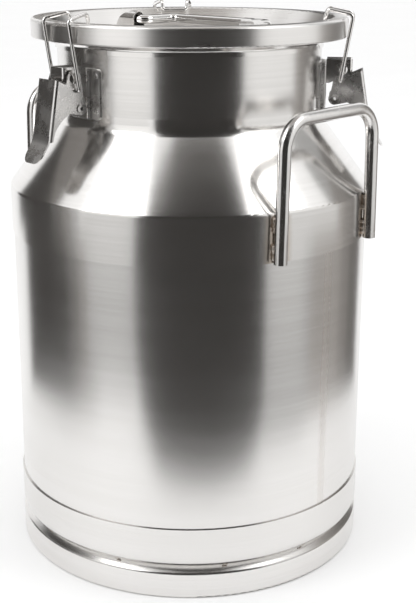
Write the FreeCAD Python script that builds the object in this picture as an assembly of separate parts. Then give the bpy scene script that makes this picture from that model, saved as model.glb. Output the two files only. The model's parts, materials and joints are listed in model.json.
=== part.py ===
"""Stainless milk can with a clamped lid. Millimetres, +Z up, origin at the centre of the foot's underside.

The front of the can looks along -Y. An azimuth is measured from the front towards +X, so a piece at
azimuth a stands in the direction (sin a, -cos a). Each latch and carry handle is drawn in its own upright
plane, with X pointing away from the can's axis and Y along its side, and is then turned to its azimuth.
"""
import FreeCAD, Part
import math
import os

Vector = FreeCAD.Vector
UP = Vector(0, 0, 1)
SIDE = Vector(0, 1, 0)

# ---------------------------------------------------------------- driving dimensions
sheet = 1.5                     # wall of the can, the lid and the latch sheet

body_radius = 175.0             # outside of the cylindrical body
foot_height = 25.7              # upright wall of the foot ring
foot_slope = 6.0                # rise of the foot ring's turned-in top
foot_lip = 8.0                  # how far the foot ring turns in, at the floor and under the pan
foot_bend = 3.0
pan_curl = 9.0                  # outside radius where the pan curls under
pan_skirt = 31.0                # height of the skirt that laps the body
band_bottom = 324.5             # lower edge of the shoulder's straight band
band_height = 44.5
shoulder_height = 65.0          # rise of the cone, between its two sharp corners
neck_radius = 127.0             # outside of the neck
neck_height = 69.0              # from the cone's upper corner to the neck's end
neck_stub = 11.0                # straight part that the shoulder pressing keeps above its corner
shoulder_bend = 4.0
neck_bend = 14.0
body_end = 10.5                 # band left above the body's upper edge, which it laps
pan_air = 1.0                   # between the body's lower edge and the pan's curl

mouth_lap = 5.0                 # collar of the mouth ring around the neck
mouth_collar = 1.0              # collar above the neck's end
mouth_flare = 12.5              # how far the flare widens
mouth_rise = 15.0               # and how far it rises
mouth_seat = 7.5                # flat seat that the seal presses on
mouth_lip = 8.0                 # turned-down outer edge
seal_height = 6.1
seal_inset = 1.5                # seat left bare inside the seal
seal_outset = 1.0               # and outside it

lid_play = 2.9                  # from the mouth's edge to the inside of the skirt
lid_skirt = 18.0
lid_hem = 3.0                   # turned-in lower edge of the skirt
lid_rim_width = 14.4            # flat ring around the recess
lid_recess = 18.1               # depth to the gutter round the floor
lid_wall_run = 15.5             # how far the recess wall slopes in
lid_gutter = 19.0               # width of the gutter with its slope
lid_floor_step = 2.5            # floor above the gutter
lid_bend = 3.0

ear_length = 26.0
ear_sheet = 1.3
ear_play = 2.2                  # beside the rod inside an ear
ear_headroom = 2.7              # above it
ear_margin = 3.5                # flat floor left outside each ear
ear_line = -46.0                # azimuth of the left ear
lid_rod = 9.0                   # diameter of the lid handle
lid_rod_air = 4.0               # under the rod, when it lies folded
lid_arm = 42.0                  # from the hinge line to the grip
lid_arm_gap = 6.5               # from an ear's mouth to the arm's centre
lid_stub = 9.5                  # how far each end reaches into its ear
lid_rod_bend = 9.0

handle_azimuths = {"left": -136.5, "right": 47.5}
handle_rod = 12.0
handle_width = 135.5            # between the centres of the legs' ends
handle_taper = 2.5              # each leg leans in by this up to the grip
handle_height = 124.5           # from the legs' ends to the centre of the grip
handle_bend = 27.0
weld_gap = 0.15                 # air between a leg and the band, bridged by the beads
weld_bead = 4.6                 # radius of a bead
weld_length = 9.0
weld_edge = 5.0                 # from the band's edge to the bead

latch_azimuths = (-49.0, 82.0, 187.0)
plate_margin = 1.75             # plate beside each arm of the strap
plate_above_cone = 7.0          # from the cone's corner to the plate's lower edge
plate_below_strap = 2.5         # from the strap's top to the plate's upper edge
plate_stand = 3.6               # hollow behind the plate's face
plate_bend = 1.8
flange_width = 46.6             # of the base, measured round the neck
flange_corner = 4.0
strap_nose = 9.0                # from the pivot out to the outside of the strap
strap_width = 21.0
strap_below_rim = 38.1          # from the lid's rim down to the strap's top
strap_height = 11.5
strap_arm_height = 22.5
strap_bend = 2.5
pivot_in = 3.9                  # from the lid's edge in to the lever's pivot
pivot_drop = 9.5                # below the strap's top
pivot_radius = 2.5
pivot_head = 4.6
lever_play = 2.45               # between the strap and each wing
lever_reach = 19.5              # from the pivot out to the top of the lever's face
lever_drop = 3.4                # and down to it
lever_face = 51.3               # drop from the top of the face to its crease
lever_slope = 9.0               # how far the face leans out over that drop
lever_lip = 17.8                # drop of the flared lip
lever_flare = 12.0
lever_lip_width = 25.0
lever_lip_corner = 8.0
lever_bend = 3.0
lever_lobe = 7.0                # radius of the wing round the pivot
tie_in = 6.5                    # tie rivet, inboard of the pivot and below it
tie_drop = 27.0
tie_lobe = 6.0
tie_head = 4.2
hole_in = 2.0                   # wire hole, inboard of the pivot and below it
hole_drop = 11.0
wire = 3.5                      # diameter of the bail's wire
wire_play = 3.0                 # between each wing and the wire's leg
hook_width = 25.0               # length of the crossbar
hook_depth = 10.0               # from the peak down to the crossbar
hook_taper = 1.0                # each leg leans in by this from the peak to the crossbar
hook_rake = 2.5                 # and towards the can's axis by this
skirt_air = 0.4                 # between the wire and the lower edge of the lid's skirt
top_clearance = 2.9             # from the rim's top to the wire's outer bend
wire_rise = 5.0                 # rise of the run over the rim
hook_clearance = 5.5            # from the recess's edge in to the wire's peak
shaft_clearance = 0.05          # radial, between every pin and what turns on it
head_clearance = 0.2

# ---------------------------------------------------------------- levels and radii that follow
lap_radius = body_radius + sheet
pan_bottom = foot_height + foot_slope
skirt_bottom = pan_bottom + pan_curl
skirt_top = skirt_bottom + pan_skirt
band_top = band_bottom + band_height
neck_corner = band_top + shoulder_height
neck_top = neck_corner + neck_height
collar_top = neck_top + mouth_collar
mouth_top = collar_top + mouth_rise
mouth_radius = neck_radius + mouth_flare + mouth_seat
seal_width = mouth_seat - seal_inset - seal_outset
rim_top = mouth_top + seal_height + sheet
lid_radius = mouth_radius + lid_play + sheet
rim_inner = lid_radius - lid_rim_width
gutter_out = rim_inner - lid_wall_run
floor_out = gutter_out - lid_gutter
gutter_level = rim_top - lid_recess
floor_level = gutter_level + lid_floor_step
lid_rod_lift = lid_rod / 2 + lid_rod_air
ear_width = lid_rod + 2 * (ear_play + ear_sheet)
ear_height = lid_rod_lift + lid_rod / 2 + ear_headroom + ear_sheet
ear_gap = 2 * (floor_out - ear_margin - ear_length)
strap_top = rim_top - strap_below_rim
plate_width = strap_width + 2 * plate_margin
plate_bottom = neck_corner + plate_above_cone
plate_height = strap_top - plate_below_strap - plate_bottom
lever_width = strap_width + 2 * (lever_play + sheet)
wire_width = lever_width + 2 * wire_play + wire
plate_face = neck_radius + plate_stand + sheet
pivot_x = lid_radius - pivot_in
pivot_z = strap_top - pivot_drop


# ---------------------------------------------------------------- shared shapes
def rounded_wire(points, radii):
    """Straight runs joined by tangent arcs. radii holds one value for each inner point."""
    edges = []
    start = points[0]
    for i, radius in enumerate(radii, 1):
        back = (points[i - 1] - points[i]).normalize()
        ahead = (points[i + 1] - points[i]).normalize()
        half = back.getAngle(ahead) / 2
        if radius <= 0 or half > math.pi / 2 - 1e-6:
            edges.append(Part.LineSegment(start, points[i]).toShape())
            start = points[i]
            continue
        reach = radius / math.tan(half)
        first = points[i] + back * reach
        last = points[i] + ahead * reach
        middle = points[i] + (back + ahead).normalize() * (radius / math.sin(half) - radius)
        if start.distanceToPoint(first) > 1e-6:
            edges.append(Part.LineSegment(start, first).toShape())
        edges.append(Part.Arc(first, middle, last).toShape())
        start = last
    edges.append(Part.LineSegment(start, points[-1]).toShape())
    return Part.Wire(edges)


def right_of(points, distance):
    """The same (x, z) outline moved sideways, to the right of its direction of travel."""
    lines = []
    for a, b in zip(points, points[1:]):
        length = math.hypot(b[0] - a[0], b[1] - a[1])
        nx, nz = (b[1] - a[1]) / length, (a[0] - b[0]) / length
        lines.append((nx, nz, nx * a[0] + nz * a[1] + distance))
    moved = [(points[0][0] + lines[0][0] * distance, points[0][1] + lines[0][1] * distance)]
    for (a, b, c), (d, e, f) in zip(lines, lines[1:]):
        det = a * e - b * d
        moved.append(((c * e - b * f) / det, (a * f - c * d) / det))
    moved.append((points[-1][0] + lines[-1][0] * distance, points[-1][1] + lines[-1][1] * distance))
    return moved


def sheet_face(points, radii, thickness):
    """Section of a bent sheet. points and radii belong to its left face, seen along the path."""
    inner_radii = []
    for i, radius in enumerate(radii, 1):
        ax, az = points[i][0] - points[i - 1][0], points[i][1] - points[i - 1][1]
        bx, bz = points[i + 1][0] - points[i][0], points[i + 1][1] - points[i][1]
        turns_left = ax * bz - az * bx > 0
        inner_radii.append(max(radius + (thickness if turns_left else -thickness), 0.0))
    near = [Vector(x, 0, z) for x, z in points]
    far = [Vector(x, 0, z) for x, z in right_of(points, thickness)]
    side_a = rounded_wire(near, radii)
    side_b = rounded_wire(far, inner_radii)
    ends = [Part.LineSegment(near[0], far[0]).toShape(), Part.LineSegment(near[-1], far[-1]).toShape()]
    return Part.Face(Part.Wire(Part.__sortEdges__(side_a.Edges + side_b.Edges + ends)))


def spin(face):
    return face.revolve(Vector(0, 0, 0), UP, 360)


def prism(points, y_from, y_to):
    """An upright (x, z) outline given thickness along Y. A vertex may be an (x, z) pair or an arc's
    ("arc", middle, end)."""
    edges = []
    at = points[0]
    for step in list(points[1:]) + [points[0]]:
        here = Vector(at[0], y_from, at[1])
        if step[0] == "arc":
            middle = Vector(step[1][0], y_from, step[1][1])
            at = step[2]
            edges.append(Part.Arc(here, middle, Vector(at[0], y_from, at[1])).toShape())
        elif step != at:
            edges.append(Part.LineSegment(here, Vector(step[0], y_from, step[1])).toShape())
            at = step
    return Part.Face(Part.Wire(edges)).extrude(Vector(0, y_to - y_from, 0))


def tube(outer, inner, z_from, z_to):
    solid = Part.makeCylinder(outer, z_to - z_from, Vector(0, 0, z_from))
    return solid.cut(Part.makeCylinder(inner, z_to - z_from, Vector(0, 0, z_from)))


def side_pin(radius, x, z, y_from, y_to):
    return Part.makeCylinder(radius, y_to - y_from, Vector(x, y_from, z), SIDE)


def rod(points, radii, diameter):
    path = rounded_wire(points, radii)
    heading = (points[1] - points[0]).normalize()
    section = Part.Wire(Part.Circle(points[0], heading, diameter / 2).toShape())
    return path.makePipeShell([section], True, False)


def mirrored(points):
    """A path that runs back along its mirror image in Y."""
    return points + [Vector(p.x, -p.y, p.z) for p in reversed(points)]


def at_azimuth(shape, azimuth):
    turned = shape.copy()
    turned.rotate(Vector(0, 0, 0), UP, azimuth - 90)
    return turned


nodes = {}


# ---------------------------------------------------------------- foot, pan and body
def foot_ring():
    """Upright ring with its floor edge turned in, and its top sloped in to carry the pan."""
    inner = lap_radius - foot_lip
    outline = [(inner, 0), (lap_radius, 0), (lap_radius, foot_height), (inner, pan_bottom),
               (inner - foot_lip, pan_bottom)]
    return spin(sheet_face(outline, [foot_bend, foot_bend, foot_bend], -sheet))


def bottom_pan():
    """Dished bottom whose skirt laps the outside of the body."""
    outline = [(0, pan_bottom), (lap_radius, pan_bottom), (lap_radius, skirt_top)]
    return spin(sheet_face(outline, [pan_curl], -sheet))


def body_shell():
    return tube(body_radius, body_radius - sheet, skirt_bottom + pan_air, band_top - body_end)


def shoulder():
    """Straight band, cone and the start of the neck in one pressing."""
    outline = [(lap_radius, band_bottom), (lap_radius, band_top), (neck_radius, neck_corner),
               (neck_radius, neck_corner + neck_stub)]
    return spin(sheet_face(outline, [shoulder_bend, neck_bend], -sheet))


def neck():
    return tube(neck_radius, neck_radius - sheet, neck_corner + neck_stub, neck_top)


def mouth_ring():
    """Collar on the neck that flares to a flat seat with a turned-down edge."""
    flare = neck_radius + mouth_flare
    outline = [(neck_radius, collar_top - mouth_lap), (neck_radius, collar_top), (flare, mouth_top),
               (mouth_radius, mouth_top), (mouth_radius, mouth_top - mouth_lip)]
    return spin(sheet_face(outline, [5.0, 3.0, 2.0], sheet))


nodes["foot_ring"] = foot_ring()
nodes["bottom_pan"] = bottom_pan()
nodes["body_shell"] = body_shell()
nodes["shoulder"] = shoulder()
nodes["neck"] = neck()
nodes["mouth_ring"] = mouth_ring()


# ---------------------------------------------------------------- carry handles
leg_radius = lap_radius + weld_gap + handle_rod / 2
leg_out = handle_width / 2 - handle_taper * band_height / handle_height
handle_plane = math.sqrt(leg_radius ** 2 - leg_out ** 2)


def carry_handle():
    """Round rod bent to an upside-down U in one upright plane."""
    half = handle_width / 2
    points = mirrored([Vector(handle_plane, -half, band_bottom),
                       Vector(handle_plane, handle_taper - half, band_bottom + handle_height)])
    return rod(points, [handle_bend, handle_bend], handle_rod)


def handle_beads(handle):
    """Weld beads at the top and bottom of each leg, filling the corner between the rod and the band."""
    band = Part.makeCylinder(lap_radius, band_height + 20, Vector(0, 0, band_bottom - 10))
    along = math.degrees(math.atan2(leg_out, handle_plane))
    beads = []
    for side in (-1, 1):
        for low in (band_bottom + weld_edge, band_top - weld_edge - weld_length):
            bead = Part.makeCylinder(weld_bead, weld_length, Vector(lap_radius + weld_gap, 0, low))
            bead.rotate(Vector(0, 0, 0), UP, side * along)
            beads += bead.cut(band).cut(handle).Solids
    return beads


beads = []
for side, azimuth in handle_azimuths.items():
    handle = carry_handle()
    nodes["carry_handle_" + side] = at_azimuth(handle, azimuth)
    beads += [at_azimuth(bead, azimuth) for bead in handle_beads(handle)]
nodes["handle_welds"] = Part.makeCompound(beads)


# ---------------------------------------------------------------- latches
wing_out = lever_width / 2
wing_in = wing_out - sheet
arm_out = strap_width / 2
hole = (pivot_x - hole_in, pivot_z - hole_drop)
tie = (pivot_x - tie_in, pivot_z - tie_drop)


def latch_base():
    """Curved plate on the neck, pressed out in the middle to a shallow channel for the strap."""
    half = plate_width / 2
    plate = tube(neck_radius + sheet, neck_radius, plate_bottom, plate_bottom + plate_height)
    slab = Part.makeBox(40, flange_width, plate_height,
                        Vector(neck_radius - 20, -flange_width / 2, plate_bottom))
    across = [e for e in slab.Edges if abs(e.Vertexes[0].X - e.Vertexes[-1].X) > 30]
    plate = plate.common(slab.makeFillet(flange_corner, across))
    block = Part.makeBox(plate_stand + sheet + 10, plate_width, plate_height,
                         Vector(plate_face - plate_stand - sheet - 10, -half, plate_bottom))
    corners = [e for e in block.Edges if abs(e.Vertexes[0].X - e.Vertexes[-1].X) < 1e-6
               and min(v.X for v in e.Vertexes) > plate_face - 0.1]
    block = block.makeFillet(plate_bend, corners)
    hollow = Part.makeBox(plate_stand + 20, plate_width - 2 * sheet, plate_height - 2 * sheet,
                          Vector(plate_face - sheet - plate_stand - 20, sheet - half, plate_bottom + sheet))
    core = Part.makeCylinder(neck_radius, plate_height + 20, Vector(0, 0, plate_bottom - 10))
    return plate.fuse(block.cut(core)).cut(hollow).removeSplitter()


def latch_strap():
    """U-shaped strip welded to the plate by the ends of its arms, which also carry the pivot."""
    outer = pivot_x + strap_nose
    bottom = strap_top - strap_arm_height
    plan = [(plate_face, -arm_out), (outer, -arm_out), (outer, arm_out), (plate_face, arm_out)]
    strip = sheet_face(plan, [strap_bend, strap_bend], -sheet)
    strip.rotate(Vector(0, 0, 0), Vector(1, 0, 0), -90)
    strip = strip.extrude(Vector(0, 0, strap_arm_height))
    strip.translate(Vector(0, 0, bottom - strip.BoundBox.ZMin))
    side = [(plate_face, strap_top), (outer, strap_top), (outer, strap_top - strap_height),
            (outer - 3, strap_top - strap_height - 3), (pivot_x, pivot_z - 8), (plate_face + 6, bottom + 1.5),
            (plate_face + 3, bottom), (plate_face, bottom)]
    strap = strip.common(prism(side, -arm_out - 1, arm_out + 1))
    return strap.cut(side_pin(pivot_radius, pivot_x, pivot_z, -arm_out - 1, arm_out + 1))


def latch_pivot():
    """Shouldered rivet through both arms of the strap. The lever turns on its two ends."""
    head_from = wing_out + head_clearance
    pin = side_pin(pivot_radius, pivot_x, pivot_z, -head_from, head_from)
    for side in (-1, 1):
        collar = side_pin(pivot_radius + 1.2, pivot_x, pivot_z, arm_out, wing_in - head_clearance)
        dome = Part.makeSphere(pivot_head * 2.2, Vector(pivot_x, head_from + 1.6 - pivot_head * 2.2, pivot_z))
        head = side_pin(pivot_head, pivot_x, pivot_z, head_from, head_from + 1.6).common(dome)
        for piece in (collar, head):
            pin = pin.fuse(piece if side > 0 else piece.mirror(Vector(0, 0, 0), SIDE))
    return pin.removeSplitter()


def latch_lever():
    """Folded lever: two wings, a leaning face between them and a flared thumb lip."""
    top = (pivot_x + lever_reach, pivot_z - lever_drop)
    crease = (top[0] + lever_slope, top[1] - lever_face)
    end = (crease[0] + lever_flare, crease[1] - lever_lip)
    lean = math.atan2(lever_slope, lever_face)
    plan = [(-60, -wing_out), (0, -wing_out), (0, wing_out), (-60, wing_out)]
    channel = sheet_face(plan, [lever_bend, lever_bend], -sheet)
    channel.rotate(Vector(0, 0, 0), Vector(1, 0, 0), -90)
    length = math.hypot(lever_slope, lever_face)
    channel = channel.extrude(Vector(0, 0, -length - 30))
    channel.translate(Vector(0, 0, 15 - channel.BoundBox.ZMax))
    channel.rotate(Vector(0, 0, 0), SIDE, -math.degrees(lean))
    channel.translate(Vector(top[0], 0, top[1]))
    lobe = lever_lobe * math.sqrt(0.5)
    wing = [(top[0] - 0.5, top[1] + 3), (top[0] + 3, top[1]), (crease[0] + 0.4, crease[1]),
            (crease[0] - 4, crease[1] + 1), (crease[0] - 6.5, crease[1] + 9),
            ("arc", (crease[0] - 15, crease[1] + 19), (tie[0] + 12, tie[1] - 3.5)),
            (tie[0], tie[1] - tie_lobe),
            ("arc", (tie[0] - tie_lobe * 0.98, tie[1] - 1.0),
             (tie[0] - tie_lobe * 0.7, tie[1] + tie_lobe * 0.7)),
            (pivot_x - lever_lobe, pivot_z - 2.0),
            ("arc", (pivot_x - lobe * 0.6, pivot_z + lobe * 1.28), (pivot_x + lobe, pivot_z + lobe)),
            (pivot_x + 9, pivot_z - lever_drop - 1.5)]
    lever = channel.common(prism(wing, -wing_out - 1, wing_out + 1))
    lip = sheet_face([top, crease, end], [lever_bend * 4], sheet)
    lip = lip.extrude(Vector(0, lever_width, 0))
    lip.translate(Vector(0, -wing_out, 0))
    half = lever_lip_width / 2
    tongue = Part.makeBox(300, lever_lip_width, crease[1] + 6 - end[1], Vector(0, -half, end[1]))
    low = [e for e in tongue.Edges if abs(e.Vertexes[0].X - e.Vertexes[-1].X) > 200
           and e.BoundBox.ZMax < end[1] + 1]
    lip = lip.common(tongue.makeFillet(lever_lip_corner, low))
    lever = lever.fuse(lip).removeSplitter()
    for (x, z), radius in (((pivot_x, pivot_z), pivot_radius + shaft_clearance),
                           (hole, wire / 2 + shaft_clearance), (tie, pivot_radius)):
        lever = lever.cut(side_pin(radius, x, z, -wing_out - 1, wing_out + 1))
    return lever


def latch_tie_rivet():
    """Hollow rivet that holds the two wings apart."""
    pin = side_pin(pivot_radius, tie[0], tie[1], -wing_out, wing_out)
    for y_from in (-wing_out - 1.2, wing_out):
        pin = pin.fuse(side_pin(tie_head, tie[0], tie[1], y_from, y_from + 1.2))
    spacer = side_pin(pivot_radius + 1.0, tie[0], tie[1], -wing_in, wing_in)
    bore = side_pin(pivot_radius - 1.0, tie[0], tie[1], -wing_out - 2, wing_out + 2)
    return pin.fuse(spacer).cut(bore).removeSplitter()


def latch_bail():
    """Wire that hooks over the lid's rim, with its two ends turned into the lever's wings."""
    leg = wire_width / 2
    half = hook_width / 2
    bend_z = rim_top + top_clearance
    passing = math.sqrt((lid_radius + skirt_air + wire / 2) ** 2 - leg ** 2)
    rise = (bend_z - hole[1]) / (rim_top - lid_skirt - hole[1])
    outer = hole[0] + (passing - hole[0]) * rise
    peak = rim_inner - hook_clearance
    points = mirrored([
        Vector(hole[0], -wing_in + 1.2, hole[1]), Vector(hole[0], -leg, hole[1]),
        Vector(outer, -leg, bend_z), Vector(peak, -half - hook_taper, bend_z + wire_rise),
        Vector(peak - hook_rake, -half, bend_z + wire_rise - hook_depth)])
    radii = [3.0, 4.5, 4.0, 3.5]
    return rod(points, radii + radii[::-1], wire)


latch_makers = {"latch_base": latch_base, "latch_strap": latch_strap, "latch_pivot": latch_pivot,
                "latch_lever": latch_lever, "latch_tie_rivet": latch_tie_rivet, "latch_bail": latch_bail}
for name, make in latch_makers.items():
    shape = make()
    for number, azimuth in enumerate(latch_azimuths, 1):
        nodes[name + "_" + str(number)] = at_azimuth(shape, azimuth)


# ---------------------------------------------------------------- lid
def lid_shell():
    """Dished lid: raised floor, gutter, sloped wall, flat rim, skirt and hem."""
    outline = [(0, floor_level), (floor_out, floor_level), (floor_out + lid_floor_step, gutter_level),
               (gutter_out, gutter_level), (rim_inner, rim_top), (lid_radius, rim_top),
               (lid_radius, rim_top - lid_skirt), (lid_radius - lid_hem, rim_top - lid_skirt)]
    return spin(sheet_face(outline, [3.0, 3.0, 5.0, lid_bend, lid_bend, 1.6], sheet))


def lid_seal():
    inner = neck_radius + mouth_flare + seal_inset
    return tube(inner + seal_width, inner, mouth_top, mouth_top + seal_height)


def cowl(width, height, length, start):
    """Arched tunnel whose roof curves down to the floor at its far end."""
    half = width / 2
    feet = [Vector(start, -half, -1), Vector(start, half, -1)]
    springs = [Vector(start, -half, height - half), Vector(start, half, height - half)]
    arch = Part.Wire([
        Part.LineSegment(springs[0], feet[0]).toShape(),
        Part.LineSegment(feet[0], feet[1]).toShape(),
        Part.LineSegment(feet[1], springs[1]).toShape(),
        Part.Arc(springs[1], Vector(start, 0, height), springs[0]).toShape()])
    tunnel = Part.Face(arch).extrude(Vector(length - start, 0, 0))
    roof = [(start, -1), (start, height), (length * 0.15, height),
            ("arc", (length * 0.74, height * 0.69), (length, 0)), (length, -1)]
    return tunnel.common(prism(roof, -half - 1, half + 1))


def lid_ear():
    """Stamped cowl, open towards the middle of the lid, that holds one end of the lid handle."""
    outer = cowl(ear_width, ear_height, ear_length, 0)
    inner = cowl(ear_width - 2 * ear_sheet, ear_height - ear_sheet, ear_length - ear_sheet * 1.2, -5)
    below = Part.makeBox(ear_length + 10, ear_width + 10, 10, Vector(-5, -ear_width / 2 - 5, -10))
    ear = outer.cut(inner).cut(below)
    ear.translate(Vector(ear_gap / 2, 0, floor_level))
    return ear


def lid_handle():
    """Hat-shaped rod lying flat, with its two ends in the ears."""
    level = floor_level + lid_rod_lift
    arm = ear_gap / 2 - lid_arm_gap
    points = [Vector(ear_gap / 2 + lid_stub, 0, level), Vector(arm, 0, level),
              Vector(arm, -lid_arm, level), Vector(-arm, -lid_arm, level),
              Vector(-arm, 0, level), Vector(-ear_gap / 2 - lid_stub, 0, level)]
    return rod(points, [lid_rod_bend] * 4, lid_rod)


nodes["lid_shell"] = lid_shell()
nodes["lid_seal"] = lid_seal()
nodes["lid_ear_left"] = at_azimuth(lid_ear(), ear_line - 90)
nodes["lid_ear_right"] = at_azimuth(lid_ear(), ear_line + 90)
nodes["lid_handle"] = at_azimuth(lid_handle(), ear_line - 90)

# ---------------------------------------------------------------- write
os.makedirs("parts", exist_ok=True)
for name, shape in nodes.items():
    shape.exportStep("parts/" + name + ".step")
    volume = round(shape.Volume / 1000, 2)
    print(name, "solids", len(shape.Solids), "valid", shape.isValid(), "volume", volume, "cm3")
print("nodes", len(nodes), "rim top", rim_top, "pivot", pivot_x, pivot_z)
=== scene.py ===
import json
import math
import random

import bmesh
import bpy
from mathutils import Matrix, Vector


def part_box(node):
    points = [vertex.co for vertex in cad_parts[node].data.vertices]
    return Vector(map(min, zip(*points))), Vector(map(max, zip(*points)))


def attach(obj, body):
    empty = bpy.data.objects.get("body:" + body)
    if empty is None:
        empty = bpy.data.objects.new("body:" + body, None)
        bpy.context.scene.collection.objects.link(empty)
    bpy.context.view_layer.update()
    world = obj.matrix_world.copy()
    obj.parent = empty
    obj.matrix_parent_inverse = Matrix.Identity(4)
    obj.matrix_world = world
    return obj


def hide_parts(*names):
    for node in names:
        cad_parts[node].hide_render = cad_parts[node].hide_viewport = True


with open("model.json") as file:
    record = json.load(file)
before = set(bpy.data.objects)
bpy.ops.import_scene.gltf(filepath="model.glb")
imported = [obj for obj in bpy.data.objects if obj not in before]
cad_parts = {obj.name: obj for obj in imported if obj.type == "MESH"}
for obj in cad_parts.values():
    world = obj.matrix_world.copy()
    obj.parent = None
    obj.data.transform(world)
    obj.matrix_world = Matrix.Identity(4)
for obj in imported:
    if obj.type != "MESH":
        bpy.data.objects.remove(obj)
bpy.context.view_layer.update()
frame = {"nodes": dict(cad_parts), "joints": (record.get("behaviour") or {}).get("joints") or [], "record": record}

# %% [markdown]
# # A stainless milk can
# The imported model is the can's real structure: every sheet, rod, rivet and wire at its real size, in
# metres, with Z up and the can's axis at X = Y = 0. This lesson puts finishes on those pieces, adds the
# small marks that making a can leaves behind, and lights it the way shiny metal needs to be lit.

nodes = frame["nodes"]
joints = {joint["name"]: joint for joint in frame["joints"]}
body_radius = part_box("body_shell")[1][0]
lap_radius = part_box("shoulder")[1][0]
neck_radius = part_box("neck")[1][0]
band_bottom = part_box("shoulder")[0][2]
band_height = 0.0445
band_top = band_bottom + band_height
skirt_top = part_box("bottom_pan")[1][2]
pan_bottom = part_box("bottom_pan")[0][2]
lid_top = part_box("lid_shell")[1][2]
print("body radius", round(body_radius, 4), "neck radius", round(neck_radius, 4))
print("lid top", round(lid_top, 4))

# %% [markdown]
# ## Directions round the can
# Everything on the can is placed by its azimuth, the angle from the front towards +X. A local drawing
# with X pointing out from the axis is turned to its place by one rotation about Z, so each latch and each
# handle can share one drawing.

# %% Azimuths
def outward(azimuth):
    """Unit vector that leaves the axis at this azimuth, in degrees."""
    return Vector((math.sin(math.radians(azimuth)), -math.cos(math.radians(azimuth)), 0))


def turned_to(azimuth):
    """Turns a local drawing, X outward and Y sideways, to this azimuth."""
    return Matrix.Rotation(math.radians(azimuth - 90), 4, "Z")


def azimuth_of(x, y):
    return math.degrees(math.atan2(x, -y))


def leg_feet(node):
    """Centres of the two lower ends of a carry handle, read from its mesh."""
    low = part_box(node)[0][2]
    ends = [v.co for v in nodes[node].data.vertices if v.co.z < low + 0.0005]
    first = ends[0]
    sides = [[p for p in ends if (p - first).length < 0.03], [p for p in ends if (p - first).length >= 0.03]]
    return [sum(side, Vector()) / len(side) for side in sides]


leg_azimuths = [azimuth_of(foot.x, foot.y)
                for node in ("carry_handle_left", "carry_handle_right") for foot in leg_feet(node)]
latch_azimuths = {}
for number in (1, 2, 3):
    pivot = joints[f"latch_lever_{number}_open"]["pos_m"]
    latch_azimuths[number] = azimuth_of(pivot[0], pivot[1])
print("latches at", {number: round(a, 1) for number, a in latch_azimuths.items()})

# %% [markdown]
# ## The camera
# A tall can is best seen from a little above its lid, so that the lid's edge reads as a flat ellipse
# and the foot as a rounder one. A long lens keeps the sides nearly upright. The camera sits in front of
# the can on its axis, and a small sideways shift moves the can in the frame without turning the view.

# %% Camera
camera_back = 1.16655
camera_height = 0.59933
camera_pitch = 17.122
lens_mm = 70.83
sideways_shift = 0.0305

camera_data = bpy.data.cameras.new("camera")
camera_data.lens = lens_mm
camera_data.sensor_width = 36.0
camera_data.shift_x = sideways_shift
camera_data.clip_start = 0.05
camera_data.clip_end = 60.0
camera = bpy.data.objects.new("camera", camera_data)
camera.location = (0, -camera_back, camera_height)
camera.rotation_euler = (math.radians(90 - camera_pitch), 0, 0)
bpy.context.scene.collection.objects.link(camera)
bpy.context.scene.camera = camera
bpy.context.scene.view_settings.view_transform = "Standard"
print("camera", tuple(round(c, 3) for c in camera.location), "looking down", camera_pitch, "degrees")

# %% [markdown]
# ## Node helpers
# Every finish below is a small graph of shader nodes. Building graphs in code is shorter with one helper
# that makes a node, sets its values and joins its inputs in a single call.

# %% Node helpers
class Graph:
    """A material's node tree, with short calls to make and join nodes."""

    def __init__(self, name):
        self.material = bpy.data.materials.new(name)
        self.material.use_nodes = True
        self.tree = self.material.node_tree
        self.tree.nodes.clear()

    def node(self, kind, inputs=None, **settings):
        made = self.tree.nodes.new(kind)
        for key, value in settings.items():
            setattr(made, key, value)
        for key, value in (inputs or {}).items():
            if isinstance(value, bpy.types.NodeSocket):
                self.tree.links.new(value, made.inputs[key])
            else:
                made.inputs[key].default_value = value
        return made

    def math(self, operation, a, b=0.0):
        return self.node("ShaderNodeMath", {0: a, 1: b}, operation=operation).outputs[0]

    def spread(self, value, low, high, to_low, to_high):
        """Maps low..high smoothly to to_low..to_high, and clamps what is outside."""
        ends = {0: value, 1: low, 2: high, 3: to_low, 4: to_high}
        return self.node("ShaderNodeMapRange", ends, interpolation_type="SMOOTHSTEP").outputs[0]

    def noise(self, vector, scale=1.0, detail=2.0, w=None):
        inputs = {"Vector": vector, "Scale": scale, "Detail": detail}
        if w is not None:
            inputs["W"] = w
        dimensions = "4D" if w is not None else "3D"
        return self.node("ShaderNodeTexNoise", inputs, noise_dimensions=dimensions).outputs["Fac"]

    def mix(self, factor, first, second):
        return self.node("ShaderNodeMix", {0: factor, 6: first, 7: second}, data_type="RGBA").outputs[2]

    def along(self, place, direction):
        """How far each point lies along a direction from the axis."""
        dot = self.node("ShaderNodeVectorMath", {0: place, 1: tuple(direction)}, operation="DOT_PRODUCT")
        return dot.outputs["Value"]

    def finish(self, shader):
        self.node("ShaderNodeOutputMaterial", {"Surface": shader})
        return self.material


def colour(rgb):
    return (rgb[0], rgb[1], rgb[2], 1.0)

# %% [markdown]
# ## Brushed and spun steel
# A can's round parts are polished while they turn, so the fine scratches run round the axis. That is
# noise squeezed along the height and the radius and stretched round the can. A fourth coordinate carries
# the radius, so the same graph also draws the rings of the lid. The scratches shift the colour and the
# gloss by a few hundredths. The anisotropy stretches reflections up and down, and a slow second noise adds
# the cloudy patches where the polishing belt pressed harder. Beside a weld the sheet is browned by heat.

# %% Steel that was turned
steel_light = (0.87, 0.855, 0.84)
steel_dark = (0.82, 0.805, 0.785)
heat_straw = (0.52, 0.41, 0.30)
scratch_pitch = 600.0
scratch_length = 4.0
band_pitch = 110.0
band_length = 1.5


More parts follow.
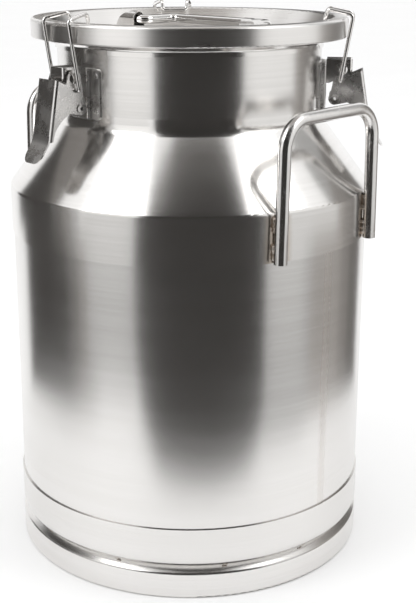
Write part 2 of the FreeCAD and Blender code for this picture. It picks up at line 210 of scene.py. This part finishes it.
def turned_steel(name, gloss, stretch, tone=1.0, seam=None, satin_below=None, welds=()):
    """gloss is the mean roughness and stretch the anisotropy. Below satin_below the sheet is duller, and
    it is browned by heat at each azimuth in welds."""
    graph = Graph(name)
    place = graph.node("ShaderNodeTexCoord").outputs["Object"]
    parts = graph.node("ShaderNodeSeparateXYZ", {0: place})
    flat = graph.node("ShaderNodeCombineXYZ", {0: parts.outputs[0], 1: parts.outputs[1]}).outputs[0]
    radius = graph.node("ShaderNodeVectorMath", {0: flat}, operation="LENGTH").outputs["Value"]
    fine = graph.node("ShaderNodeVectorMath",
                      {0: place, 1: (scratch_length, scratch_length, scratch_pitch)}, operation="MULTIPLY")
    lines = graph.noise(fine.outputs[0], 1.0, 3.0, graph.math("MULTIPLY", radius, scratch_pitch))
    wide = graph.node("ShaderNodeVectorMath",
                      {0: place, 1: (band_length, band_length, band_pitch)}, operation="MULTIPLY")
    bands = graph.noise(wide.outputs[0], 1.0, 2.0, graph.math("MULTIPLY", radius, band_pitch))
    clouds = graph.noise(place, 11.0, 3.0)
    marks = graph.math("ADD", graph.math("MULTIPLY", lines, 0.6), graph.math("MULTIPLY", bands, 0.4))
    light = [c * tone for c in steel_light]
    dark = [c * tone for c in steel_dark]
    shade = graph.mix(graph.spread(marks, 0.3, 0.68, 0.0, 1.0), colour(dark), colour(light))
    rough = graph.math("ADD", graph.spread(marks, 0.3, 0.7, gloss * 0.97, gloss * 1.03),
                       graph.spread(clouds, 0.35, 0.7, -0.01, 0.015))
    if seam is not None:
        across = graph.along(place, outward(seam + 90))
        facing = graph.along(place, outward(seam))
        near = graph.spread(graph.math("ABSOLUTE", across), 0.0015, 0.008, 1.0, 0.0)
        near = graph.math("MULTIPLY", near, graph.math("GREATER_THAN", facing, 0.0))
        shade = graph.mix(graph.math("MULTIPLY", near, 0.10), shade, colour(heat_straw))
        rough = graph.math("ADD", rough, graph.math("MULTIPLY", near, 0.05))
    for azimuth in welds:
        across = graph.along(place, outward(azimuth + 90))
        facing = graph.along(place, outward(azimuth))
        uneven = graph.spread(clouds, 0.3, 0.7, -0.003, 0.003)
        ragged = graph.math("ADD", graph.math("ABSOLUTE", across), uneven)
        burnt = graph.math("MULTIPLY", graph.spread(ragged, 0.006, 0.015, 1.0, 0.0),
                           graph.math("GREATER_THAN", facing, 0.0))
        on_band = graph.spread(parts.outputs[2], satin_below - 0.004, satin_below, 1.0, 0.0)
        burnt = graph.math("MULTIPLY", burnt, on_band)
        shade = graph.mix(graph.math("MULTIPLY", burnt, 0.55), shade, colour(heat_straw))
    if satin_below is not None:
        duller = graph.spread(parts.outputs[2], satin_below - 0.002, satin_below, 0.06, 0.0)
        rough = graph.math("ADD", rough, duller)
    tangent = graph.node("ShaderNodeTangent", direction_type="RADIAL", axis="Z")
    steel = graph.node("ShaderNodeBsdfPrincipled", {
        "Base Color": shade, "Metallic": 1.0, "Roughness": rough, "Anisotropic": stretch,
        "Anisotropic Rotation": 0.25, "Tangent": tangent.outputs[0]})
    return graph.finish(steel.outputs[0])


body_seam = 46.5
finishes = {
    "body_sheet": turned_steel("steel_body_satin", 0.24, 0.25, 0.93, seam=body_seam),
    "pan_sheet": turned_steel("steel_pan_satin", 0.25, 0.25, 0.92),
    "foot_sheet": turned_steel("steel_foot_satin", 0.22, 0.25, 0.94),
    "shoulder_sheet": turned_steel("steel_shoulder_spun", 0.17, 0.25, 1.02, satin_below=band_top,
                                   welds=leg_azimuths),
    "neck_sheet": turned_steel("steel_neck_satin", 0.23, 0.25),
    "mouth_sheet": turned_steel("steel_mouth_spun", 0.17, 0.2),
    "lid_sheet": turned_steel("steel_lid_satin", 0.28, 0.2),
}
print("turned finishes", sorted(finishes))

# %% [markdown]
# ## Rod, wire and pressed sheet
# Drawn rod and wire are the brightest parts, with a few fine marks from the die along the height. The
# pressed latch pieces have an even grain. Both use one graph, in which a slow noise dulls the polish here
# and there, as handling does.

# %% Bright drawn and rolled steel
def bright_steel(name, gloss, tone, grain=(700.0, 700.0, 60.0), scratch=0.08):
    graph = Graph(name)
    place = graph.node("ShaderNodeTexCoord").outputs["Object"]
    squeezed = graph.node("ShaderNodeVectorMath", {0: place, 1: grain}, operation="MULTIPLY").outputs[0]
    lines = graph.noise(squeezed, 1.0, 3.0)
    clouds = graph.noise(place, 60.0, 3.0)
    shade = graph.mix(graph.spread(lines, 0.3, 0.7, 0.0, 1.0), colour([c * tone * 0.93 for c in steel_light]),
                      colour([min(c * tone, 1.0) for c in steel_light]))
    rough = graph.math("ADD", graph.spread(clouds, 0.35, 0.7, gloss * 0.8, gloss * 1.3),
                       graph.spread(lines, 0.3, 0.7, -0.02, 0.03))
    bump = graph.node("ShaderNodeBump", {"Strength": scratch, "Distance": 0.0001, "Height": lines})
    steel = graph.node("ShaderNodeBsdfPrincipled", {
        "Base Color": shade, "Metallic": 1.0, "Roughness": rough, "Normal": bump.outputs[0]})
    return graph.finish(steel.outputs[0])


even_grain = (900.0, 900.0, 900.0)
finishes.update({
    "handle_rod": bright_steel("steel_handle_rod", 0.2, 0.97),
    "latch_sheet": bright_steel("steel_latch_plate", 0.30, 1.0, even_grain, 0.3),
    "strap_sheet": bright_steel("steel_latch_strap", 0.2, 1.0, even_grain, 0.2),
    "lever_sheet": bright_steel("steel_latch_lever", 0.26, 0.93, even_grain, 0.3),
    "ear_sheet": bright_steel("steel_lid_ear", 0.2, 0.95),
    "rivet_metal": bright_steel("steel_rivet", 0.15, 1.0, (300.0, 300.0, 300.0)),
    "latch_wire": bright_steel("steel_latch_wire", 0.1, 1.02),
    "lid_rod": bright_steel("steel_lid_rod", 0.12, 1.0),
})
print("bright finishes", len(finishes))

# %% [markdown]
# ## Weld metal and the rubber seal
# Weld metal keeps the ripples of the molten pool and a brown heat tint, so it is rougher and
# darker than the sheet beside it. The seal is a pale moulded rubber with a fine dull grain.

# %% Weld metal and rubber
def weld_steel():
    graph = Graph("steel_weld_bead")
    place = graph.node("ShaderNodeTexCoord").outputs["Object"]
    ripples = graph.noise(place, 900.0, 2.0)
    tint = graph.noise(place, 160.0, 3.0)
    shade = graph.mix(graph.spread(tint, 0.35, 0.65, 0.0, 1.0),
                      colour((0.36, 0.30, 0.25)), colour((0.62, 0.57, 0.52)))
    rough = graph.spread(ripples, 0.3, 0.7, 0.24, 0.5)
    bump = graph.node("ShaderNodeBump", {"Strength": 0.5, "Distance": 0.0003, "Height": ripples})
    steel = graph.node("ShaderNodeBsdfPrincipled", {
        "Base Color": shade, "Metallic": 1.0, "Roughness": rough, "Normal": bump.outputs[0]})
    return graph.finish(steel.outputs[0])


def seal_rubber():
    graph = Graph("rubber_seal")
    place = graph.node("ShaderNodeTexCoord").outputs["Object"]
    grain = graph.noise(place, 1500.0, 2.0)
    shade = graph.mix(graph.spread(grain, 0.3, 0.7, 0.0, 1.0),
                      colour((0.60, 0.59, 0.56)), colour((0.76, 0.75, 0.72)))
    rough = graph.spread(grain, 0.3, 0.7, 0.5, 0.66)
    bump = graph.node("ShaderNodeBump", {"Strength": 0.2, "Distance": 0.0001, "Height": grain})
    rubber = graph.node("ShaderNodeBsdfPrincipled", {
        "Base Color": shade, "Roughness": rough, "Normal": bump.outputs[0]})
    return graph.finish(rubber.outputs[0])


finishes["weld_metal"] = weld_steel()
finishes["seal_rubber"] = seal_rubber()

# %% [markdown]
# ## Dress the frame
# The record says which finish slot each node uses, so one loop gives every node its material. The nodes
# keep their meshes.

# %% Give each node its finish
for part in frame["record"]["subparts"]:
    node = nodes[part["node"]]
    node.data.materials.clear()
    node.data.materials.append(finishes[part["material_slot"]])
print("dressed", len(nodes), "nodes")

# %% [markdown]
# ## Weld beads on the handles
# Each leg is stick-welded to the band in four short runs, two on each side. A run of weld is a row of
# small solidified pools that overlap, so it is drawn as a row of flattened balls of uneven size and then
# wrapped in one skin by a voxel remesh. The skin replaces the plain bead solids, which stay for physics.

# %% A row of weld pools
def weld_row(name, start, end, pools, size, seed, skin=0.0006):
    """A lumpy bead from start to end, its balls a little flattened in height, as one skin."""
    draw = random.Random(seed)
    mesh = bpy.data.meshes.new(name)
    pool = bmesh.new()
    for i in range(pools):
        at = start.lerp(end, i / max(pools - 1, 1))
        at += Vector((draw.uniform(-1, 1), draw.uniform(-1, 1), draw.uniform(-1, 1))) * size * 0.18
        wide = size * draw.uniform(0.82, 1.15)
        place = Matrix.Translation(at) @ Matrix.Diagonal((wide, wide, wide * 0.8, 1))
        bmesh.ops.create_icosphere(pool, subdivisions=2, radius=1.0, matrix=place)
    pool.to_mesh(mesh)
    pool.free()
    bead = bpy.data.objects.new(name, mesh)
    bpy.context.scene.collection.objects.link(bead)
    wrap = bead.modifiers.new("skin", "REMESH")
    wrap.mode = "VOXEL"
    wrap.voxel_size = skin
    wrap.use_smooth_shade = True
    mesh.materials.append(finishes["weld_metal"])
    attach(bead, "can")
    return bead


bead_length = 0.011
bead_offset = 0.0036
bead_proud = 0.0012
bead_size = 0.0024
bead_pools = 6
low_bead = 0.0045
high_bead = 0.0155
beads = []
for node in ("carry_handle_left", "carry_handle_right"):
    for foot in leg_feet(node):
        azimuth = azimuth_of(foot.x, foot.y)
        for low in (band_bottom + low_bead, band_bottom + band_height - high_bead):
            for hand in (-1, 1):
                sideways = outward(azimuth + 90) * bead_offset * hand
                root = outward(azimuth) * (lap_radius + bead_proud) + sideways
                start = root + Vector((0, 0, low))
                end = start + Vector((0, 0, bead_length))
                name = f"handle_bead_{len(beads) + 1}"
                beads.append(weld_row(name, start, end, bead_pools, bead_size, len(beads)))
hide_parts("handle_welds")
print("handle beads", len(beads))

# %% [markdown]
# ## Tack welds in the groove
# The dished bottom sits on the foot ring, and a few tacks in the groove between them hold the two
# together. They were never ground clean, so they stay as small dark specks. Their places are drawn at
# random from a fixed seed, because a welder spaces tacks by eye.

# %% Tacks between the pan and the foot
tack_count = 11
tack_in = 0.0052
tack_up = 0.0008
tack_size = 0.0011
draw = random.Random(4)
for number in range(tack_count):
    azimuth = -20 + number * 360 / tack_count + draw.uniform(-7, 7)
    root = outward(azimuth) * (lap_radius - tack_in) + Vector((0, 0, pan_bottom + tack_up))
    reach = outward(azimuth + 90) * draw.uniform(0.001, 0.003)
    weld_row(f"foot_tack_{number + 1}", root - reach, root + reach, 3, tack_size, 50 + number, 0.0004)
print("tacks", tack_count)

# %% [markdown]
# ## The body's long seam
# The body is one sheet rolled round and welded along its height. The weld is planished nearly flat, so
# what is left is a strip seven millimetres wide that stands about a tenth proud, with the faint ripple of
# the pool. A grid bent to the body's radius gives it a real edge for the light to catch.

# %% Planished seam
def mesh_object(name, vertices, faces, material, smooth=False):
    mesh = bpy.data.meshes.new(name)
    mesh.from_pydata([tuple(v) for v in vertices], [], faces)
    mesh.update()
    for polygon in mesh.polygons:
        polygon.use_smooth = smooth
    mesh.materials.append(material)
    made = bpy.data.objects.new(name, mesh)
    bpy.context.scene.collection.objects.link(made)
    return made


seam_width = 0.007
seam_proud = 0.00012
seam_rows = 220
seam_across = 6
seam_low = skirt_top + 0.0005
seam_high = band_bottom - 0.0005
vertices = []
for row in range(seam_rows + 1):
    z = seam_low + (seam_high - seam_low) * row / seam_rows
    ripple = 0.8 + 0.2 * math.sin(row * 1.9 + math.sin(row * 0.37))
    for column in range(seam_across + 1):
        side = 2 * column / seam_across - 1
        rise = seam_proud * (1 - side * side) * ripple - 0.00002
        turn = body_seam + math.degrees(side * seam_width / 2 / body_radius)
        vertices.append(outward(turn) * (body_radius + rise) + Vector((0, 0, z)))
width = seam_across + 1
faces = [(r * width + c, r * width + c + 1, (r + 1) * width + c + 1, (r + 1) * width + c)
         for r in range(seam_rows) for c in range(seam_across)]
seam = mesh_object("body_seam", vertices, faces, finishes["body_sheet"], smooth=True)
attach(seam, "can")
print("seam from", round(seam_low, 4), "to", round(seam_high, 4))

# %% [markdown]
# ## Spot welds on the latch bases
# Each latch base is a thin plate held to the neck by four resistance spot welds. The electrode leaves a
# shallow round dimple with a raised lip, about five millimetres across. One small turned profile, placed
# on the curved flange by rotation, serves all twelve.

# %% Spot welds
def turned_profile(profile, segments):
    """Vertices and faces of a small disc turned from (radius, height) pairs, height along X."""
    vertices = [Vector((profile[0][1], 0, 0))]
    for radius, rise in profile[1:]:
        for i in range(segments):
            turn = 2 * math.pi * i / segments
            vertices.append(Vector((rise, radius * math.cos(turn), radius * math.sin(turn))))
    faces = [(0, 1 + i, 1 + (i + 1) % segments) for i in range(segments)]
    for ring in range(len(profile) - 2):
        a, b = 1 + ring * segments, 1 + (ring + 1) * segments
        faces += [(a + i, b + i, b + (i + 1) % segments, a + (i + 1) % segments) for i in range(segments)]
    return vertices, faces


spot_profile = [(0, 0.00002), (0.0011, 0.00004), (0.0016, 0.00022), (0.0021, 0.00026), (0.0026, 0.00002)]
spot_in = 0.0065
spot_side = 0.0183
base_sheet = 0.0015
for number, azimuth in latch_azimuths.items():
    base_low, base_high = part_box(f"latch_base_{number}")[0][2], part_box(f"latch_base_{number}")[1][2]
    vertices, faces = [], []
    for z in (base_low + spot_in, base_high - spot_in):
        for hand in (-1, 1):
            turn = azimuth + hand * math.degrees(spot_side / neck_radius)
            out = Matrix.Translation((neck_radius + base_sheet, 0, 0))
            place = Matrix.Translation((0, 0, z)) @ turned_to(turn) @ out
            ring, ring_faces = turned_profile(spot_profile, 16)
            faces += [tuple(len(vertices) + i for i in face) for face in ring_faces]
            vertices += [place @ v for v in ring]
    spots = mesh_object(f"latch_spots_{number}", vertices, faces, finishes["latch_sheet"], smooth=True)
    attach(spots, "can")
print("spot welds", 4 * len(latch_azimuths))

# %% [markdown]
# ## The studio
# Polished metal shows the room more than itself. The can stands on a pale floor in a white room. The
# floor's tone varies a little, so that it doesn't look like a cut-out.

# %% Floor and room
world = bpy.data.worlds.new("white_room")
bpy.context.scene.world = world
world.use_nodes = True
world.node_tree.nodes["Background"].inputs[0].default_value = (1.0, 1.0, 1.0, 1.0)
world.node_tree.nodes["Background"].inputs[1].default_value = 1.03


def floor_material():
    graph = Graph("pale_floor")
    place = graph.node("ShaderNodeTexCoord").outputs["Object"]
    tone = graph.spread(graph.noise(place, 3.0, 2.0), 0.3, 0.7, 0.0, 1.0)
    shade = graph.mix(tone, colour((0.945, 0.945, 0.945)), colour((0.955, 0.955, 0.955)))
    matt = graph.node("ShaderNodeBsdfPrincipled", {"Base Color": shade, "Roughness": 0.8})
    matt.inputs["Specular IOR Level"].default_value = 0.1
    return graph.finish(matt.outputs[0])


floor_half = 12.0
floor = mesh_object("floor", [(-floor_half, -floor_half, 0), (floor_half, -floor_half, 0),
                              (floor_half, floor_half, 0), (-floor_half, floor_half, 0)],
                    [(0, 1, 2, 3)], floor_material())

# %% [markdown]
# ## Cards round the can
# A dark card in front gives the body its deep middle, and soft grey cards at the sides make the slow
# gradients. A dark and a grey card behind the can shape its back, and one above it greys the lid. The
# white room is left to show between them. The cards only appear in reflections, and dim ones are warm.

# %% Cards seen only in reflections
warm_room = (1.0, 0.945, 0.895, 1.0)
plain_lamp = (1.0, 0.995, 0.985, 1.0)


def glow(name, low, high, z_low, z_high):
    """A card's brightness, from low at z_low to high at z_high. Dim cards are a little warm."""
    graph = Graph(name)
    place = graph.node("ShaderNodeTexCoord").outputs["Object"]
    height = graph.node("ShaderNodeSeparateXYZ", {0: place}).outputs[2]
    light = graph.spread(height, z_low, z_high, low, high)
    tint = plain_lamp if high > 0.5 else warm_room
    return graph.finish(graph.node("ShaderNodeEmission", {"Color": tint, "Strength": light}).outputs[0])


def only_reflected(card):
    card.visible_camera = False
    card.visible_diffuse = False
    card.visible_transmission = False
    card.visible_shadow = False


def card(name, rows, low, high):
    """A bent card. Each row is a list of points at one height, from the lowest row up."""
    across = len(rows[0])
    vertices = [Vector(point) for row in rows for point in row]
    faces = [(k * across + i, k * across + i + 1, (k + 1) * across + i + 1, (k + 1) * across + i)
             for k in range(len(rows) - 1) for i in range(across - 1)]
    heights = [vertex.z for vertex in vertices]
    only_reflected(mesh_object(name, vertices, faces, glow(name, low, high, min(heights), max(heights))))


card_foot = 0.004
card_top = 0.62
high_card_top = 1.25
back_card_top = 0.95


def round_card(name, azimuth_from, azimuth_to, low, high, z_low=card_foot, z_high=card_top, radius=0.64):
    turn = azimuth_to - azimuth_from
    steps = max(2, int(abs(turn) / 4))
    sides = [outward(azimuth_from + turn * i / steps) * radius for i in range(steps + 1)]
    card(name, [[(side.x, side.y, z) for side in sides] for z in (z_low, z_high)], low, high)


front_edge = [(-0.40, -0.66), (-0.306, -0.575), (-0.175, -0.475), (-0.12, -0.435), (0.043, -0.415),
              (0.215, -0.39), (0.31, -0.40), (0.445, -0.47)]
upper_edge = [(-0.257, -0.515), (-0.235, -0.505)] + front_edge[2:]
high_edge = [(-0.33, -0.515), (-0.29, -0.505)] + front_edge[2:]


def at_height(edge, z):
    return [(x, y, z) for x, y in edge]


front_top = 0.80
card("card_front", [at_height(front_edge, card_foot), at_height(front_edge, 0.17),
                    at_height(upper_edge, 0.36), at_height(upper_edge, front_top)], 0.045, 0.03)
card("card_front_high", [at_height(upper_edge, front_top), at_height(high_edge, 1.18)], 0.03, 0.15)
round_card("card_left_soft", -60, -31, 0.50, 1.10, radius=0.66)
step_height = 0.24
for level, z_low, z_high, turn, nearer in (("low", card_foot, step_height, 8, 0.0),
                                           ("high", step_height, card_top, 0, 0.06)):
    round_card(f"card_left_fade_1_{level}", turn - 66, turn - 60, 0.45, 0.60, z_low, z_high, 0.60 - nearer)
    round_card(f"card_left_fade_2_{level}", turn - 72, turn - 66, 0.25, 0.32, z_low, z_high, 0.59 - nearer)
    round_card(f"card_left_fade_3_{level}", turn - 78, turn - 72, 0.10, 0.13, z_low, z_high, 0.58 - nearer)
    dark_from = turn * 0.6 - 118
    round_card(f"card_left_dark_{level}", dark_from, turn - 78, 0.05, 0.06, z_low, z_high, 0.57 - nearer)
round_card("card_left_high", -132, -90, 0.20, 0.30, card_top, high_card_top)
round_card("card_right_soft", 40, 64, 0.50, 1.0, radius=0.50)
round_card("card_right_fade", 64, 70, 0.44, 0.62, radius=0.52)
round_card("card_right_neck", 62, 89, 0.75, 1.0, 0.26, radius=0.49)
round_card("card_right_grey", 70, 97, 0.38, 0.36, radius=0.54)
round_card("card_right_dim", 97, 108, 0.26, 0.26, radius=0.54)
round_card("card_right_dark", 108, 126, 0.15, 0.18, radius=0.54)
round_card("card_right_high", 96, 126, 0.40, 0.56, card_top, high_card_top)
round_card("card_back_dark", 160, 186, 0.07, 0.05, card_foot, back_card_top, 0.60)
round_card("card_back_grey", 186, 204, 0.30, 0.24, card_foot, back_card_top, 0.60)
ceiling_half = 0.5
card("card_ceiling", [[(-ceiling_half, -ceiling_half, 1.70), (ceiling_half, -ceiling_half, 1.70)],
                      [(-ceiling_half, ceiling_half, 1.72), (ceiling_half, ceiling_half, 1.72)]], 0.42, 0.42)

# %% [markdown]
# ## Soft lamps
# Two large area lamps, one high on the left and one on the right, light the floor evenly and leave a
# soft shadow under the foot. They are wide, so their glints on the rods and folds have soft edges.

# %% Lamps
def soft_lamp(name, azimuth, distance, height, size, power):
    data = bpy.data.lights.new(name, "AREA")
    data.shape = "RECTANGLE"
    data.size = size
    data.size_y = size
    data.energy = power
    lamp = bpy.data.objects.new(name, data)
    lamp.location = outward(azimuth) * distance + Vector((0, 0, height))
    lamp.rotation_euler = (Vector((0, 0, 0.25)) - lamp.location).to_track_quat("-Z", "Y").to_euler()
    bpy.context.scene.collection.objects.link(lamp)


soft_lamp("lamp_left", -60, 1.6, 1.9, 1.0, 11.0)
soft_lamp("lamp_right", 70, 1.7, 2.0, 1.0, 9.0)
